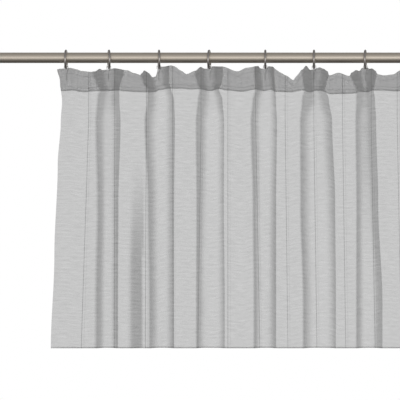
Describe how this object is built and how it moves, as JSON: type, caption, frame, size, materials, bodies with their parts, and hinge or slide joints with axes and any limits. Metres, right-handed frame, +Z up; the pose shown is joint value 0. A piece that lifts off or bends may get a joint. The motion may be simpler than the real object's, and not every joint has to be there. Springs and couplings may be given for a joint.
{
  "type": "gathered curtain on a rod",
  "caption": "Sheer voile curtain with a gathered heading, hung by hooks on wire rings that slide along a round metal rod between two wall brackets.",
  "frame": {"origin": "centre of the left wall plate's back face, where it lies on the wall; the rod's axis is at this height, 90 mm in front of the wall", "axes": "+X along the rod to the right as seen from the room, +Y into the wall, +Z up"},
  "size_m": [1.2752, 0.1087, 0.578],
  "materials": {
    "satin_nickel": "satin brushed nickel plate, warm tint",
    "ring_nickel": "polished dark nickel plate",
    "zinc_plate": "bright zinc plated steel",
    "spring_wire": "drawn steel wire",
    "voile": "sheer light grey voile with fine woven stripes",
    "heading_tape": "white woven pencil pleat tape",
    "polyester_cord": "white braided polyester cord"
  },
  "bodies": {
    "rod_set": {"rod_tube": "satin_nickel", "left_finial": "satin_nickel", "right_finial": "satin_nickel", "left_wall_plate": "zinc_plate", "left_plate_cover": "satin_nickel", "left_bracket_arm": "satin_nickel", "left_rod_cradle": "satin_nickel", "left_wall_screw_upper": "zinc_plate", "left_wall_screw_lower": "zinc_plate", "right_wall_plate": "zinc_plate", "right_plate_cover": "satin_nickel", "right_bracket_arm": "satin_nickel", "right_rod_cradle": "satin_nickel", "right_wall_screw_upper": "zinc_plate", "right_wall_screw_lower": "zinc_plate"},
    "left_clamp": {"left_clamp_screw": "satin_nickel"},
    "right_clamp": {"right_clamp_screw": "satin_nickel"},
    "end_ring": {"ring_1": "ring_nickel"},
    "curtain": {"hook_1": "spring_wire", "cloth_section_1": "voile", "heading_tape": "heading_tape", "tape_cord_upper": "polyester_cord", "tape_cord_lower": "polyester_cord", "hem_weight_cord": "polyester_cord"},
    "runner_2": {"ring_2": "ring_nickel", "hook_2": "spring_wire", "cloth_section_2": "voile"},
    "runner_3": {"ring_3": "ring_nickel", "hook_3": "spring_wire", "cloth_section_3": "voile"},
    "runner_4": {"ring_4": "ring_nickel", "hook_4": "spring_wire", "cloth_section_4": "voile"},
    "runner_5": {"ring_5": "ring_nickel", "hook_5": "spring_wire", "cloth_section_5": "voile"},
    "runner_6": {"ring_6": "ring_nickel", "hook_6": "spring_wire", "cloth_section_6": "voile"},
    "runner_7": {"ring_7": "ring_nickel", "hook_7": "spring_wire", "cloth_section_7": "voile"},
    "runner_8": {"ring_8": "ring_nickel", "hook_8": "spring_wire", "cloth_section_8": "voile"},
    "runner_9": {"ring_9": "ring_nickel", "hook_9": "spring_wire", "cloth_section_9": "voile"},
    "runner_10": {"ring_10": "ring_nickel", "hook_10": "spring_wire", "cloth_section_10": "voile"}
  },
  "joints": [
    {"name": "curtain_shift", "type": "slide", "parent": "rod_set", "child": "end_ring", "axis": [1, 0, 0], "range_m": [-0.115, 0.09]},
    {"name": "curtain_swing", "type": "hinge", "parent": "end_ring", "child": "curtain", "pos_m": [0.1577, -0.09, 0], "axis": [1, 0, 0], "range_deg": [-25, 7]},
    {"name": "curtain_draw", "type": "slide", "parent": "curtain", "child": "runner_10", "axis": [1, 0, 0], "range_m": [-0.59864, 0], "deforming": ["cloth_section_1", "cloth_section_2", "cloth_section_3", "cloth_section_4", "cloth_section_5", "cloth_section_6", "cloth_section_7", "cloth_section_8", "cloth_section_9", "cloth_section_10", "heading_tape", "tape_cord_upper", "tape_cord_lower", "hem_weight_cord"]},
    {"name": "ring_2_draw", "type": "slide", "parent": "curtain", "child": "runner_2", "axis": [1, 0, 0], "range_m": [-0.05727, 0]},
    {"name": "ring_3_draw", "type": "slide", "parent": "curtain", "child": "runner_3", "axis": [1, 0, 0], "range_m": [-0.12405, 0]},
    {"name": "ring_4_draw", "type": "slide", "parent": "curtain", "child": "runner_4", "axis": [1, 0, 0], "range_m": [-0.19097, 0]},
    {"name": "ring_5_draw", "type": "slide", "parent": "curtain", "child": "runner_5", "axis": [1, 0, 0], "range_m": [-0.2658, 0]},
    {"name": "ring_6_draw", "type": "slide", "parent": "curtain", "child": "runner_6", "axis": [1, 0, 0], "range_m": [-0.33076, 0]},
    {"name": "ring_7_draw", "type": "slide", "parent": "curtain", "child": "runner_7", "axis": [1, 0, 0], "range_m": [-0.39915, 0]},
    {"name": "ring_8_draw", "type": "slide", "parent": "curtain", "child": "runner_8", "axis": [1, 0, 0], "range_m": [-0.46495, 0]},
    {"name": "ring_9_draw", "type": "slide", "parent": "curtain", "child": "runner_9", "axis": [1, 0, 0], "range_m": [-0.53215, 0]},
    {"name": "left_clamp_turn", "type": "hinge", "parent": "rod_set", "child": "left_clamp", "pos_m": [0, -0.09, -0.02], "axis": [0, 0, -1], "range_deg": [0, 360]},
    {"name": "right_clamp_turn", "type": "hinge", "parent": "rod_set", "child": "right_clamp", "pos_m": [1.14, -0.09, -0.02], "axis": [0, 0, -1], "range_deg": [0, 360]}
  ],
  "couplings": [
    {"joint": "ring_2_draw", "follows": "curtain_draw", "ratio": 0.09565},
    {"joint": "ring_3_draw", "follows": "curtain_draw", "ratio": 0.2072},
    {"joint": "ring_4_draw", "follows": "curtain_draw", "ratio": 0.31899},
    {"joint": "ring_5_draw", "follows": "curtain_draw", "ratio": 0.44399},
    {"joint": "ring_6_draw", "follows": "curtain_draw", "ratio": 0.5525},
    {"joint": "ring_7_draw", "follows": "curtain_draw", "ratio": 0.66675},
    {"joint": "ring_8_draw", "follows": "curtain_draw", "ratio": 0.77666},
    {"joint": "ring_9_draw", "follows": "curtain_draw", "ratio": 0.88892}
  ]
}
